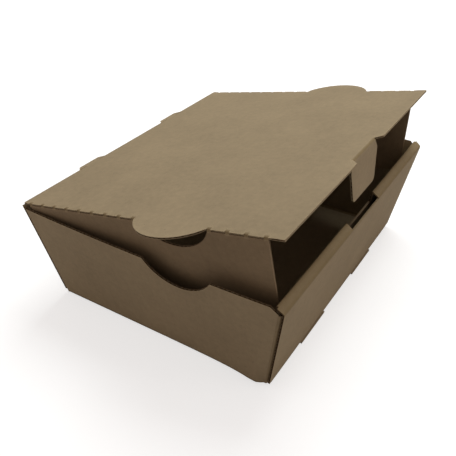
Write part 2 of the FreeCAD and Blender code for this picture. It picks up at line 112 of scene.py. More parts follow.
class Graph:
    """The node tree of a material or world, emptied and filled through one method."""

    def __init__(self, owner: ID) -> None:
        """Empty the owner's tree.

        Args:
            owner: a material or world.
        """
        owner.use_nodes = True
        self.owner, self.tree = owner, owner.node_tree
        self.tree.nodes.clear()

    def node(self, kind: str, settings: dict, inputs: dict) -> Node:
        """Add a node.

        Args:
            kind: the node's type.
            settings: its properties, set first.
            inputs: values or links of its sockets, by name or number.

        Returns:
            The node.
        """
        node = self.tree.nodes.new(kind)
        for word, value in settings.items():
            setattr(node, word, value)
        for word, value in inputs.items():
            if isinstance(value, Wire):
                self.tree.links.new(value.socket, node.inputs[word])
            else:
                node.inputs[word].default_value = value
        return node

    def wire(self, kind: str, settings: dict | None = None, inputs: dict | None = None,
             name: str | int = 0) -> Wire:
        """The output of that name or number of a new node."""
        return Wire(self, self.node(kind, settings or {}, inputs or {}).outputs[name])

    def noise(self, vector: Wire, scale: float, detail: float,
              stretch: Triple = (1, 1, 1)) -> Wire:
        """Noise between about 0 and 1.

        Args:
            vector: where it is read.
            scale: lumps a unit of the vector.
            detail: octaves.
            stretch: factors of the vector's three parts.

        Returns:
            The noise's value.
        """
        if stretch != (1, 1, 1):
            vector = self.wire("ShaderNodeMapping", {}, {"Vector": vector, "Scale": stretch})
        return self.wire("ShaderNodeTexNoise", {}, {"Vector": vector, "Scale": scale, "Detail": detail})

    def mix(self, factor: Wire | float, low: Wire | tuple, high: Wire | tuple) -> Wire:
        """Colour between a first one, where the factor is 0, and a second, where it is 1."""
        return self.wire("ShaderNodeMix", {"data_type": "RGBA"}, {0: factor, 6: low, 7: high}, 2)

    def finish(self, shader: Wire, kind: str = "Material") -> ID:
        """Link a shader to the output and return the tree's owner."""
        self.node(f"ShaderNodeOutput{kind}", {}, {"Surface": shader})
        return self.owner


# -------------------- finishes
@dataclass(frozen=True)
class Kraft:
    """Uncoated brown paper: mottled pulp, fibres across the flutes, specks and the flutes' lines, with
    painted shade in its creases.
    """

    name: str
    colour: Triple
    dark: float = 0.80           # shade of the mottling's dark side
    light: float = 1.16          # and of its light side
    speck: float = 0.45          # shade of the dark specks
    pale: float = 1.55           # and of the pale ones
    frayed: float = 1.30         # and of rubbed edges
    cracked: float = 1.20        # and of cracks in the creases
    pressed: Triple = (0.55, 0.48, 0.30)   # painted shade of the creases and the slanted strip: a darker, warmer tint
    roughness: float = 0.80      # where the pulp is smoothest
    relief: float = 0.35         # strength of the surface's bump
    bump: float = 0.00018        # and its height, in metres

    def shade(self, factor: float | Triple) -> tuple[float, float, float, float]:
        """The paper's colour, darker, lighter or tinted."""
        return (*np.multiply(self.colour, factor), 1.0)

    def material(self) -> Material:
        """The paper's nodes: noises of several sizes, weighed into tones and a height.

        Returns:
            The material, which reads a piece's blank map and its rub and fold marks.
        """
        graph = Graph(bpy.data.materials.new(self.name))
        blank = graph.wire("ShaderNodeUVMap", {"uv_map": "blank"})
        room = graph.wire("ShaderNodeTexCoord", name="Object")
        rub, fold = (graph.wire("ShaderNodeAttribute", {"attribute_name": word}, name="Fac")
                     for word in ("rub", "fold"))
        cloud, pulp = graph.noise(room, 28, 3), graph.noise(room, 260, 4)
        fibre = graph.noise(blank, 1, 3, (420, 3400, 1))
        cross = graph.noise(blank, 1, 2, (2600, 500, 1))
        speck = graph.noise(room, 900, 1).smooth(0.70, 0.80)
        pale = graph.noise(room, 700, 1, (1.3, 1, 1.7)).smooth(0.72, 0.80)
        frayed = rub * graph.noise(room, 1500, 2).smooth(0.38, 0.62)
        cracked = fold * graph.noise(blank, 1, 3, (500, 160, 1)).smooth(0.46, 0.66)
        across = graph.wire("ShaderNodeSeparateXYZ", {}, {"Vector": blank})
        wave = (across * (2 * math.pi / (STOCK.pitch * MM))).math("SINE")

        tone = (cloud - 0.5) * 0.7 + (pulp - 0.5) * 0.8 + (fibre - 0.5) * 0.35 + (cross - 0.5) * 0.3
        tone = (tone + wave * 0.015 + 0.5).math("MAXIMUM", 0.0).math("MINIMUM", 1.0)
        colour = graph.mix(tone, self.shade(self.dark), self.shade(self.light))
        # the fold mark also paints shade: creases and the slanted strip darken and warm towards the pressed
        # tint
        for mark, share, shade in ((speck, 0.45, self.speck), (pale, 0.30, self.pale),
                                   (frayed, 0.55, self.frayed), (cracked, 0.30, self.cracked),
                                   (fold, 0.6, self.pressed)):
            colour = graph.mix(mark * share, colour, self.shade(shade))
        height = (fibre * 0.5 + pulp * 0.6 + cross * 0.3 + wave * 0.22
                  + frayed * 0.5 - cracked * 0.4 + cloud * 0.5)
        normal = graph.wire("ShaderNodeBump", {},
                            {"Height": height, "Strength": self.relief, "Distance": self.bump})
        return graph.finish(graph.wire("ShaderNodeBsdfPrincipled", {}, {
            "Base Color": colour, "Roughness": pulp * 0.12 + self.roughness, "Normal": normal,
            "Specular IOR Level": 0.22}))


class Finish(Enum):
    """The papers that the board is made of; the flaps' and the cut edges' papers are darkened to paint
    shade.
    """

    LINER = Kraft("kraft_liner", (0.290, 0.226, 0.138))
    # painted shade: the side flaps' paper is darker and warmer than the liner, standing for the shade that
    # they sit in
    SHADED_FLAP = Kraft("kraft_flap_liner", (0.224, 0.162, 0.095))
    # painted shade: the cut edges' paper is far darker than real medium, standing for the shade in the open
    # flutes
    SHADED_EDGE = Kraft("kraft_cut_edge", (0.095, 0.058, 0.026), relief=0.2)

    @cache
    def material(self) -> Material:
        """The paper's material, made once."""
        return self.value.material()


# -------------------- shapes
def spread(*parts: Values) -> Array:
    """Grid of points from its coordinates, each a row, a column, a grid or one number."""
    return np.stack(np.broadcast_arrays(*parts), axis=-1)


def both_sides(*lines: Values) -> Array:
    """Lines to both sides of the first one, as the falling columns of one array."""
    half = spread(*lines)
    return np.concatenate([half[:, :0:-1], half[:, :1], -half[:, 1:]], axis=1)


def heading(angle: float) -> Array:
    """An angle's cosine and sine."""
    return np.array([math.cos(angle), math.sin(angle)])


def centres(grid: Array) -> Array:
    """Middles of a grid's cells, or of the steps of a single column."""
    rows = (grid[1:] + grid[:-1]) / 2
    return rows if rows.shape[1] == 1 else (rows[:, 1:] + rows[:, :-1]) / 2


def between(places: Array, starts: Values, ends: Values) -> Array:
    """Whether each place lies between one of the starts and its end."""
    return np.any((places[..., None] > starts) & (places[..., None] < ends), axis=-1)


def lengths_along(points: Array) -> Array:
    """Distance of each point from the first, along the path."""
    return np.concatenate([[0], np.cumsum(np.linalg.norm(np.diff(points, axis=0), axis=1))])


def read_at(knots: Array, places: Array, points: Array) -> Array:
    """A path's points at given places, on straight lines between its own."""
    return np.stack([np.interp(knots, places, axis) for axis in points.T], axis=-1)


def graded(length: float, spacing: float, margin: float = 1.4) -> Array:
    """Places from 0 to a length: even inside, with one near each end.

    Args:
        length: the last place.
        spacing: between the even ones, at most.
        margin: of the ones near the ends.

    Returns:
        The places.
    """
    if length < 3 * margin:
        return np.linspace(0, length, 3)
    steps = max(1, math.ceil((length - 2 * margin) / spacing))
    return np.concatenate([[0], np.linspace(margin, length - margin, steps + 1), [length]])


def beside(corners: Array, distance: float) -> Array:
    """Path beside another, on the right of its direction.

    Each corner moves along the bisector of its two runs, by the distance over the cosine of half
    the turn.

    Args:
        corners: the path's corners, one a row.
        distance: how far beside it.

    Returns:
        The corners of the new path.
    """
    runs = np.diff(corners, axis=0)
    runs /= np.linalg.norm(runs, axis=1, keepdims=True)
    right = np.stack([runs[:, 1], -runs[:, 0]], axis=1)
    before, after = np.concatenate([right[:1], right]), np.concatenate([right, right[-1:]])
    return corners + distance * (before + after) / (1 + np.sum(before * after, axis=1, keepdims=True))


def rounded(corners: Array | list, radius: float | tuple[float, ...], spacing: float,
            steps: int = 7) -> tuple[Array, Array]:
    """Path with round corners.

    Each inner corner becomes an arc that touches both its runs, and each run is divided evenly.

    Args:
        corners: the path's corners, one a row.
        radius: of the arcs, or of each of them.
        spacing: between points on the runs.
        steps: number of steps in an arc.

    Returns:
        The points, one a row, and for each of them 1 on an arc and 0 on a run.
    """
    corners = np.asarray(corners, float)
    radii = np.broadcast_to(radius, len(corners) - 2)
    runs = np.diff(corners, axis=0)
    lengths = np.linalg.norm(runs, axis=1)
    runs = runs / lengths[:, None]
    turns = np.arctan2(runs[:-1, 0] * runs[1:, 1] - runs[:-1, 1] * runs[1:, 0],
                       np.sum(runs[:-1] * runs[1:], axis=1))
    cut = np.concatenate([[0], radii * np.tan(np.abs(turns) / 2), [0]])
    points, marks = [corners[:1]], [np.zeros(1)]
    for index, run in enumerate(runs):
        straight = graded(lengths[index] - cut[index] - cut[index + 1], spacing)[1:, None]
        points.append(corners[index] + run * cut[index] + straight * run)
        marks.append(np.zeros(len(straight)))
        if index < len(turns):
            arm = np.array([run[1], -run[0]]) * math.copysign(radii[index], turns[index])
            angle = np.linspace(0, turns[index], steps + 1)[1:, None]
            arc = points[-1][-1] - arm + arm * np.cos(angle) + np.array([-arm[1], arm[0]]) * np.sin(angle)
            points.append(arc)
            marks[-1][-1] = 1
            marks.append(np.ones(steps))
    return np.concatenate(points), np.concatenate(marks)


def refined(points: Array, marks: Array, extra: list[float]) -> tuple[Array, Array]:
    """Path with more points.

    Args:
        points: the path.
        marks: a mark of each point.
        extra: distances of the new points from the path's start.

    Returns:
        The points and their marks.
    """
    place = lengths_along(points)
    knots = np.unique(np.round(np.concatenate([place, extra]), 6))
    knots = knots[np.diff(knots, prepend=-1) > 0.05]
    return read_at(knots, place, points), np.interp(knots, place, marks)


def ruled(first: Array, last: Array, rows: Array) -> Array:
    """Flat grid between two curves.

    Both curves are read at the same fractions of their lengths, which are those of all their
    points, and straight lines join them.

    Args:
        first: points of one curve.
        last: points of the other.
        rows: fractions of the way between them.

    Returns:
        A grid of points: along the curves, then from the first to the last.
    """
    shares = [lengths_along(curve) / lengths_along(curve)[-1] for curve in (first, last)]
    knots = np.unique(np.round(np.concatenate(shares), 5))
    start, end = (read_at(knots, share, curve) for share, curve in zip(shares, (first, last)))
    return start[:, None] + (end - start)[:, None] * rows[None, :, None]


@dataclass(frozen=True)
class Bite:
    """A segment of a circle that is taken off a straight edge, or added to it."""

    place: float                 # of its middle, along the edge
    radius: float
    depth: float

    def knots(self, count: int = 33) -> Array:
        """Places along the edge at even angles on the arc, from end to end."""
        angle = math.acos((self.radius - self.depth) / self.radius)
        return self.place + self.radius * np.sin(np.linspace(-angle, angle, count))

    def at(self, places: Array) -> Array:
        """How deep the segment is at places along the edge."""
        rise = np.sqrt(np.maximum(self.radius ** 2 - (places - self.place) ** 2, 0))
        return np.maximum(rise - self.radius + self.depth, 0)


@dataclass(frozen=True)
class Perforation:
    """Cut and crease of a side flap's fold: short bridges hold, and the board is cut between them."""

    starts: tuple[float, ...] = (6.0, 157.43)
    ends: tuple[float, ...] = (103.57, 197.2)
    bridge: float = 2.8
    pitch: float = 12.2

    def bridges(self) -> Array:
        """The bridges, evenly spread over each perforated stretch.

        Returns:
            Start and end of each along the fold, one a row.
        """
        lows = [np.linspace(start, end - self.bridge, round((end - start - self.bridge) / self.pitch) + 1)
                for start, end in zip(self.starts, self.ends)]
        return np.concatenate(lows)[:, None] + [0, self.bridge]

    def held(self, along: Array) -> Array:
        """Whether places along the fold are on a bridge."""
        return between(along, *self.bridges().T)

    def cut(self, along: Array) -> Array:
        """Whether places along the fold are on its perforated stretches."""
        return between(along, np.array(self.starts) - NEAR, np.array(self.ends) + NEAR)


class Plan:
    """Sizes and places that the pieces share.  What isn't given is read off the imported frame."""

    layer_gap: float = 0.2       # air between two layers of board
    hinge_standoff: float = 1.194   # top of the hinge wall below the hinge's axis, along the wall
    hinge_clear: float = 1.2     # start of the lid's board past that axis
    fold_clear: float = 0.6      # end of the lid's board before the flaps' folds
    flap_held: float = 0.9       # start of a flap's board below its fold, at the bridges
    lug_place: float = 52.0      # the lugs' centres from the middle
    lobe: Bite = Bite(130.5, 30.4, 16.3)
    perforation: Perforation = Perforation()
    lock_half: float = 19.5      # half of the lock tab's crease
    lock_clear: float = 1.2      # end of the lid's board before it
    lock_start: float = 1.133    # start of the tab's board below it
    lock_lean: float = math.radians(6.0)   # of the tab, inwards from square to the lid

    def __init__(self) -> None:
        """Work the other values out from the nodes' boxes and the joints' places."""
        box = {name: np.array(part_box(name)) / MM for name in ("floor", "near_side_wall", "lid")}
        joints = {joint["name"]: joint for joint in frame["joints"]}
        place = {name: np.array(joint["pos_m"]) / MM for name, joint in joints.items()}
        self.board = box["floor"][1][2]
        self.rim_y, self.rim_z = -box["near_side_wall"][0][1], box["near_side_wall"][1][2]
        self.lean = (self.rim_y - box["floor"][1][1]) / (self.rim_z - self.board)
        self.rim_x = box["floor"][1][0] + (self.rim_z - self.board) * self.lean
        self.flare = math.atan(self.lean)
        self.cos, self.sin = heading(self.flare)
        self.skin = self.board / self.cos                          # a leaning board, measured level
        self.layer = (self.board + self.layer_gap) / self.cos      # pitch of two leaning layers
        self.hinge_x, _, self.hinge_z = place["lid_hinge"]
        self.lid_angle = -math.radians(joints["lid_hinge"]["range_deg"][0])
        self.fold_y = abs(place["near_flap_fold"][1])
        self.lid_half = self.fold_y + self.board                   # half of the lid along the hinge
        lock_x, _, lock_z = place["lock_tab_fold"] - place["lid_hinge"]
        self.lock_u = math.hypot(lock_x, lock_z)
        self.lid_reach = ((box["lid"][1][0] - self.hinge_x - self.board / 2 * math.sin(self.lid_angle))
                          / math.cos(self.lid_angle))

    def half_x(self, height: Values, depth: float = 0.0) -> Values:
        """Face of the hinge and opening walls at a height, or a level depth inside it."""
        return self.rim_x - (self.rim_z - height) * self.lean - depth

    def half_y(self, height: Values, depth: float = 0.0) -> Values:
        """Face of the side walls at a height, or a level depth inside it."""
        return self.rim_y - (self.rim_z - height) * self.lean - depth

    def wall_top(self) -> Array:
        """Top of the hinge wall's middle surface, in the box's upright plane."""
        return np.array([self.hinge_x + self.hinge_standoff * self.sin,
                         self.hinge_z - self.hinge_standoff * self.cos])

    def on_lid(self, along: Values, across: Values, up: Values = 0.0) -> Array:
        """Points given in the lid's own frame, on its hinge axis.

        Args:
            along: distance from the axis in the lid's plane.
            across: place along the hinge.
            up: height above the lid's middle surface.

        Returns:
            Points in the box's frame.
        """
        cos, sin = heading(self.lid_angle)
        return spread(self.hinge_x + along * cos - up * sin, across, self.hinge_z + along * sin + up * cos)


# -------------------- board
@dataclass(frozen=True)
class Stock:
    """The corrugated board: two liners with a wavy medium between them."""

    thick: float = 1.5
    liner: float = 0.24
    medium: float = 0.17
    pitch: float = 3.2           # of the flutes
    depth: tuple[float, ...] = (0.0, 0.5, 1.0, 1.5, 2.0, 2.6)   # rows of the medium behind an edge
    recess: float = 0.16         # of the medium, behind the liners' edge
    turn: int = 9                # points in one flute
    step: float = 4.0            # longest step along an edge
    shut: float = 0.35           # how much thinner a blunt knife leaves its cut
    bite: float = 0.02           # of the wave's crests into the liners
    slack: float = 0.01          # between liners and medium where an edge runs with the flutes
    seen: Pair = (0.12, 0.52)    # share of an edge across the flutes where they start to show, and do
    bare: float = 0.5            # openness from which a cut edge gets the dark paper that paints the flutes' shade


STOCK = Stock()


def show(name: str, data: ID) -> Object:
    """Show a mesh, a lamp or a camera.

    Args:
        name: of the object.
        data: what it shows.

    Returns:
        The object, linked to the scene.
    """
    piece = bpy.data.objects.new(name, data)
    bpy.context.scene.collection.objects.link(piece)
    return piece


@dataclass
class Solid:
    """Quads that become one mesh."""

    parts: list[tuple[Array, ...]] = field(default_factory=list)
    count: int = 0
    weld: ClassVar[float] = 1e-7                # points closer than this are one, in metres
    sharp: ClassVar[float] = math.radians(38)   # least angle that stays an edge

    def add(self, points: Array, quads: Array, blank: Array, marks: Array, slots: Array) -> None:
        """Take in some quads.

        Args:
            points: corner points, one a row.
            quads: four point numbers a row.
            blank: place of each point in the flat blank.
            marks: rub and fold of each point.
            slots: material slot of each quad, 0 for a liner and 1 for the dark paper that paints a cut
                edge's shade.
        """
        self.parts.append((points, quads + self.count, blank, marks, slots))
        self.count += len(points)

    def object(self, name: str, liner: Finish = Finish.LINER) -> Object:
        """Make the mesh object, in metres, with its maps and its papers.

        Args:
            name: of the object and its mesh.
            liner: paper of the liners.

        Returns:
            The object, linked to the scene.
        """
        points, quads, blank, marks, slots = (np.concatenate(each) for each in zip(*self.parts))
        mesh = bpy.data.meshes.new(name)
        mesh.from_pydata((points * MM).tolist(), [], quads.tolist())
        mesh.polygons.foreach_set("material_index", slots.astype(np.int32))
        mesh.polygons.foreach_set("use_smooth", np.ones(len(quads), bool))
        flat = (blank * MM)[quads.ravel()].astype(np.float32)
        mesh.uv_layers.new(name="blank").data.foreach_set("uv", flat.ravel())
        for word, mark in zip(("rub", "fold"), marks.T.astype(np.float32)):
            mesh.attributes.new(word, "FLOAT", "POINT").data.foreach_set("value", mark.copy())
        # the second slot is the cut edges' dark paper, which paints their shade
        for finish in (liner, Finish.SHADED_EDGE):
            mesh.materials.append(finish.material())
        work = bmesh.new()
        work.from_mesh(mesh)
        bmesh.ops.remove_doubles(work, verts=work.verts, dist=self.weld)
        work.to_mesh(mesh)
        work.free()
        mesh.set_sharp_from_angle(angle=self.sharp)
        piece = show(name, mesh)
        return piece


@dataclass
class Sheet:
    """A piece of board as a grid over its middle surface.

    The side called the top is where the cross product of the grid's two directions points.
    """

    middle: Array                       # n by m points
    blank: Array                        # n by m places in the flat blank, across and along the flutes
    kept: Array | bool = True           # cells that are there, n - 1 by m - 1
    fold: Values = 0.0           # 1 on a crease, n by m
    closed: Array | bool = False        # points where a blunt knife pressed the edge shut, n by m
    crush: float = 0.30                 # how much thinner the board is on a crease
    pinch: float = 0.10                 # and at its cut edges
    joined: tuple[int, ...] = ()        # sides of the grid that go on in another piece: j0, i1, j1, i0
    pressed: bool = False               # whether its layers are pressed into one
    shaded_edges: bool = True                    # whether the liners' own cut edges get that painted shade too

    def __post_init__(self) -> None:
        """Spread the marks over the grid."""
        rows, columns = self.middle.shape[:2]
        self.kept = np.broadcast_to(self.kept, (rows - 1, columns - 1))
        self.fold = np.broadcast_to(self.fold, (rows, columns))
        self.closed = np.broadcast_to(self.closed, (rows, columns))

    def normals(self) -> Array:
        """Unit normals of the middle surface."""
        normal = np.cross(np.gradient(self.middle, axis=0), np.gradient(self.middle, axis=1))
        return normal / np.maximum(np.linalg.norm(normal, axis=-1, keepdims=True), 1e-9)

    def corners(self) -> list[Array]:
        """Corners of all cells, counter-clockwise seen from the top.

        Returns:
            The numbers of their first, second, third and fourth points.
        """
        rows, columns = self.middle.shape[:2]
        number = np.arange(rows * columns).reshape(rows, columns)
        return [number[:-1, :-1], number[1:, :-1], number[1:, 1:], number[:-1, 1:]]

    def rims(self) -> tuple[Array, Array]:
        """Grid edges where the board ends.

        Returns:
            A table with a column for each edge: the numbers of its two points, counter-clockwise
            seen from the top, and of the two points behind them.  Then whether each edge is a cut
            one, and not the start of another piece.
        """
        rows, columns = self.middle.shape[:2]
        row, column = np.divmod(np.arange(rows * columns), columns)
        sides = [column == 0, row == rows - 1, column == columns - 1, row == 0]
        padded, corner = np.pad(self.kept, 1), self.corners()
        beyond = [padded[1:-1, :-2], padded[2:, 1:-1], padded[1:-1, 2:], padded[:-2, 1:-1]]
        edges, cut = [], []
        for side in range(4):
            ends = self.kept & ~beyond[side]
            edges.append(np.stack([corner[(side + step) % 4][ends] for step in (0, 1, 3, 2)]))
            outermost = np.all(sides[side][edges[-1][:2]], axis=0)
            cut.append(~outermost | (side not in self.joined))
        return np.concatenate(edges, axis=1), np.concatenate(cut)

    def fill(self, solid: Solid) -> None:
        """Add two thin closed slabs for the liners, and the medium between them.

        Args:
            solid: takes the quads.
        """
        normal = self.normals()
        edges, cut = self.rims()
        rub = np.zeros(self.fold.shape)
        rub.ravel()[edges[:2, cut]] = 1
        marks = np.tile(spread(rub, self.fold).reshape(-1, 2), (2, 1))
        blank = np.tile(self.blank.reshape(-1, 2), (2, 1))
        half = STOCK.thick / 2 * (1 - self.crush * self.fold)
        half = (half * (1 - self.pinch * rub - STOCK.shut * self.closed))[..., None]
        levels = [half, half - STOCK.liner, STOCK.liner - half, -half]
        first, second, total = *edges[:2], self.fold.size
        cells = np.stack(self.corners(), -1)[self.kept]
        walls = np.stack([second, first, first + total, second + total], -1)
        quads = np.concatenate([cells, cells[:, ::-1] + total, walls])
        # liner edges that cut the flutes openly take the painted-shade paper
        slots = np.append(np.zeros(2 * len(cells)), self.shaded_edges & (self.openness(edges) > STOCK.bare))
        for pair in [(0, 3)] if self.pressed else [(0, 1), (2, 3)]:
            sides = [(self.middle + normal * levels[level]).reshape(-1, 3) for level in pair]
            solid.add(np.concatenate(sides), quads, blank, marks, slots)
        if not self.pressed:
            self.ribbons(solid, normal, edges[:, cut])

    def openness(self, edges: Array) -> Array:
        """How openly each rim cuts the flutes, from 0 to 1.

        It rises evenly with the share of its length that runs across them, and is 0 where a blunt
        knife has shut it.

        Args:
            edges: the rims.

        Returns:
            A value for each.
        """
        (first, second), flat, closed = edges[:2], self.blank.reshape(-1, 2), self.closed.ravel()
        step = flat[second] - flat[first]
        share = np.abs(step[:, 0]) / np.maximum(np.linalg.norm(step, axis=1), 1e-9)
        low, high = STOCK.seen
        return np.clip((share - low) / (high - low), 0, 1) * ~(closed[first] & closed[second])

    def ribbons(self, solid: Solid, normal: Array, edges: Array) -> None:
        """Add the wavy medium behind the cut edges.

        Each rim is divided so that all flutes get as many points.  The ribbon goes inwards from
        there, and its height over the middle surface is the sine of the place across the flutes.

        Args:
            solid: takes the quads.
            normal: unit normals of the middle surface.
            edges: the sheet's cut rims.
        """
        press = self.crush * self.fold + STOCK.shut * self.closed
        state = np.concatenate([self.middle, normal, self.blank, press[..., None]], axis=-1).reshape(-1, 9)
        first, second, first_in, second_in = edges
        length = np.linalg.norm((state[second] - state[first])[:, :3], axis=1)
        turns = np.abs(state[second, 6] - state[first, 6]) / STOCK.pitch * STOCK.turn
        steps = np.maximum(np.ceil(np.maximum(turns, length / STOCK.step)), 1).astype(int)
        edge = np.repeat(np.arange(len(first)), steps)
        place = np.arange(len(edge)) - np.repeat(np.cumsum(steps) - steps, steps)
        share = np.stack([place, place + 1], axis=1) / steps[edge][:, None]

        ends = []
        for front, back in ((first, first_in), (second, second_in)):
            slope = state[back] - state[front]
            slope /= np.linalg.norm(slope[:, :3], axis=1, keepdims=True)
            ends.append(np.concatenate([state[front], slope[:, [0, 1, 2, 6, 7]]], axis=1))
        table = ends[0][edge][:, None] + (ends[1] - ends[0])[edge][:, None] * share[..., None]
        start, up, where, press, inner, slope = np.split(table[:, :, None], [3, 6, 8, 9, 12], axis=-1)
        depth = np.array(STOCK.depth)[:, None] + STOCK.recess
        blank, middle = where + slope * depth, start + inner * depth
        bare = self.openness(edges)[edge][:, None, None, None]
        thin = STOCK.medium / 2
        room = STOCK.thick / 2 * (1 - press - self.pinch) - STOCK.liner
        body = thin + (room - STOCK.slack - thin) * (1 - bare)
        height = (room - thin + STOCK.bite) * bare * np.sin(2 * np.pi * blank[..., :1] / STOCK.pitch)
        both = np.stack([middle + up * (height + body), middle + up * (height - body)], axis=2)

        number = np.arange(both[..., 0].size).reshape(both.shape[:-1])
        tube = np.concatenate([number[:, :, 0], number[:, :, 1, ::-1]], axis=2)
        after = np.roll(tube, -1, axis=2)
        quads = [np.stack([tube[:, 0], tube[:, 1], after[:, 1], after[:, 0]], -1).reshape(-1, 4)]
        total = self.fold.size
        starts, stops = first * total + first_in, second * total + second_in
        opens = number[(place == 0) & ~np.isin(starts, stops)[edge]][:, 0]
        shuts = number[(place == steps[edge] - 1) & ~np.isin(stops, starts)[edge]][:, 1, ::-1]
        for cap in (opens, shuts):
            cap = [cap[:, 0, :-1], cap[:, 0, 1:], cap[:, 1, 1:], cap[:, 1, :-1]]
            quads.append(np.stack(cap, -1).reshape(-1, 4))
        # open ribbons and the caps take the painted-shade paper
        slots = np.append(np.repeat(bare.ravel() > STOCK.bare, tube.shape[2]),
                          np.ones(len(quads[1]) + len(quads[2])))
        flat = np.broadcast_to(blank[:, :, None], (*both.shape[:-1], 2)).reshape(-1, 2)
        solid.add(both.reshape(-1, 3), np.concatenate(quads), flat, np.zeros((number.size, 2)), slots)


# -------------------- sub-assemblies
@dataclass
class Board:
    """A piece of the folded box."""

    plan: Plan
    spacing: float = 6.0         # of the grid's points, at most
    paper: ClassVar[Finish] = Finish.LINER

    def sheets(self) -> list[Sheet]:
        """The piece's sheets of board."""
        raise NotImplementedError

    def build(self, name: str) -> Object:
        """Make the piece.

        Args:
            name: of the piece.

        Returns:
            The piece, as one object.
        """
        whole = Solid()
        for sheet in self.sheets():
            sheet.fill(whole)
        return whole.object(name, self.paper)

    def dress(self, piece: Object, body: str, *nodes: str) -> None:
        """Let the piece ride on a body and stand for its nodes.

        Args:
            piece: the piece.
            body: the body that it rides on.
            nodes: names of the nodes that it replaces.
        """
        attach(piece, body)
        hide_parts(*nodes)
        LOG.info("%-18s rides on %-14s %7d faces, for %s", piece.name, body, len(piece.data.polygons),
                 ", ".join(nodes))


@dataclass
class TrayRun(Board):
    """Hinge wall, floor, opening wall, its slanted top and its inner layer: one folded run."""

    front_drop: float = 3.1      # outer crease of the slanted strip below the rim
    slot_gap: float = 3.5        # the strip's width, measured level
    strip_rise: float = 2.6      # and its rise
    strip_crush_and_shade: float = 0.7      # how much it is pressed thinner, and how much painted shade it gets
    foot_gap: float = 0.4        # inner layer's foot above the floor
    bends: tuple[float, ...] = (1.3, 1.3, 0.56, 0.56)   # radius of the middle surface in each crease
    relief: float = 3.0          # of the walls' lower corners
    lug_half: float = 14.9       # half of a lug's cut-out, at the hinge axis
    lug_depth: float = 4.4       # its bottom below that axis
    lug_slant: float = 4.0       # how much its ends lean in over that depth
    slot_half: float = 24.5
    slot_drop: float = 7.6       # bottom of the slot below the rim
    tongue_place: float = 46.0
    tongue_half: float = 19.25
    tongue_ease: float = 0.6     # more width at the tongues' outer ends
    tongue_slot: float = 0.85    # how far the tongues' slots go up past the crease
    rear_short: float = 0.9      # of the hinge wall's ends
    floor_seam: float = 0.7      # last cross line on the floor, in from its end
    lines: tuple[float, ...] = (13.0, 76.0, 87.0, 98.0)   # cross lines that only divide long cells

    def corners(self) -> Array:
        """Inside corners of the run's section.

        Returns:
            Six corners, from the hinge to the inner layer's foot.
        """
        plan = self.plan
        top = plan.wall_top() + plan.board / 2 * np.array([plan.cos, plan.sin])
        floor_x = plan.half_x(plan.board, plan.skin)
        front_z = plan.rim_z - self.front_drop
        front_x = plan.half_x(front_z, plan.skin)
        foot_z = plan.board + self.foot_gap
        foot_x = plan.half_x(foot_z, plan.skin) - (plan.board + 2 * plan.layer_gap) / plan.cos
        return np.array([top, [-floor_x, plan.board], [floor_x, plan.board], [front_x, front_z],
                         [front_x - self.slot_gap, front_z + self.strip_rise], [foot_x, foot_z]])

    def sheets(self) -> list[Sheet]:
        """The section carried along the hinge, as far as the leaning side walls.

        Returns:
            One sheet, whose cross lines follow the lug cut-outs, the slot and the ends.
        """
        plan = self.plan
        section, fold = rounded(beside(self.corners(), plan.board / 2), self.bends, self.spacing)
        place = lengths_along(section)
        turns = np.flatnonzero(np.diff(fold, prepend=0, append=0))
        starts, ends = place[turns[::2]], place[turns[1::2] - 1]     # of the creases, along the run
        panel = place >= ends[3]
        lug_end = self.lug_depth - plan.hinge_standoff
        slot_end = np.interp(self.slot_drop - plan.rim_z, -section[panel, 1], place[panel])
        tongue_end = ends[1] + self.tongue_slot
        section, fold = refined(section, fold, [lug_end, tongue_end, slot_end])
        place = lengths_along(section)
        x, z = section.T

        floor = between(place, ends[0] - NEAR, starts[1] + NEAR)
        crease = SideWall(plan).crease_y()
        walls = np.maximum(plan.half_y(z) - self.rear_short * (place < starts[0] - NEAR), crease)
        half = np.where(floor, crease, walls)
        seam = half - np.where(floor, self.floor_seam, plan.layer)
        slant = self.lug_slant / self.lug_depth
        lug = self.lug_half - (plan.hinge_standoff + np.clip(place, 0, lug_end)) * slant
        corner_y = plan.half_y(0) - self.relief
        inmost, *outer = self.lines
        across = both_sides(0, inmost, self.slot_half, self.tongue_place - self.tongue_half,
                            plan.lug_place - lug, plan.lug_place, plan.lug_place + lug,
                            self.tongue_place + self.tongue_half + self.tongue_ease,
                            *outer, corner_y, seam, half)

        centre, height, row = np.abs(centres(across)), centres(z[:, None]), centres(place[:, None])
        lugs = (np.abs(centre - plan.lug_place) < self.lug_half - self.lug_slant) & (row < lug_end)
        upright = ~between(row, ends[0], starts[1]) & (row < starts[3])
        corner = (height < self.relief) & (centre > corner_y) & upright
        slot = (centre < self.slot_half) & between(row, starts[2], slot_end)
        tongue = np.abs(centre - self.tongue_place) < self.tongue_half
        tongue = tongue & between(row, starts[1], tongue_end)
        column = np.arange(centre.shape[1])
        narrow = (row > starts[3]) & ((column == 0) | (column == column[-1]))
        # the strip's fold mark crushes it thinner and paints shade on it
        crush_and_shade = self.strip_crush_and_shade * between(place, ends[2], starts[3])
        return [Sheet(spread(x[:, None], across, z[:, None]), spread(place[:, None], across),
                      ~(lugs | corner | slot | tongue | narrow), np.maximum(fold, crush_and_shade)[:, None])]


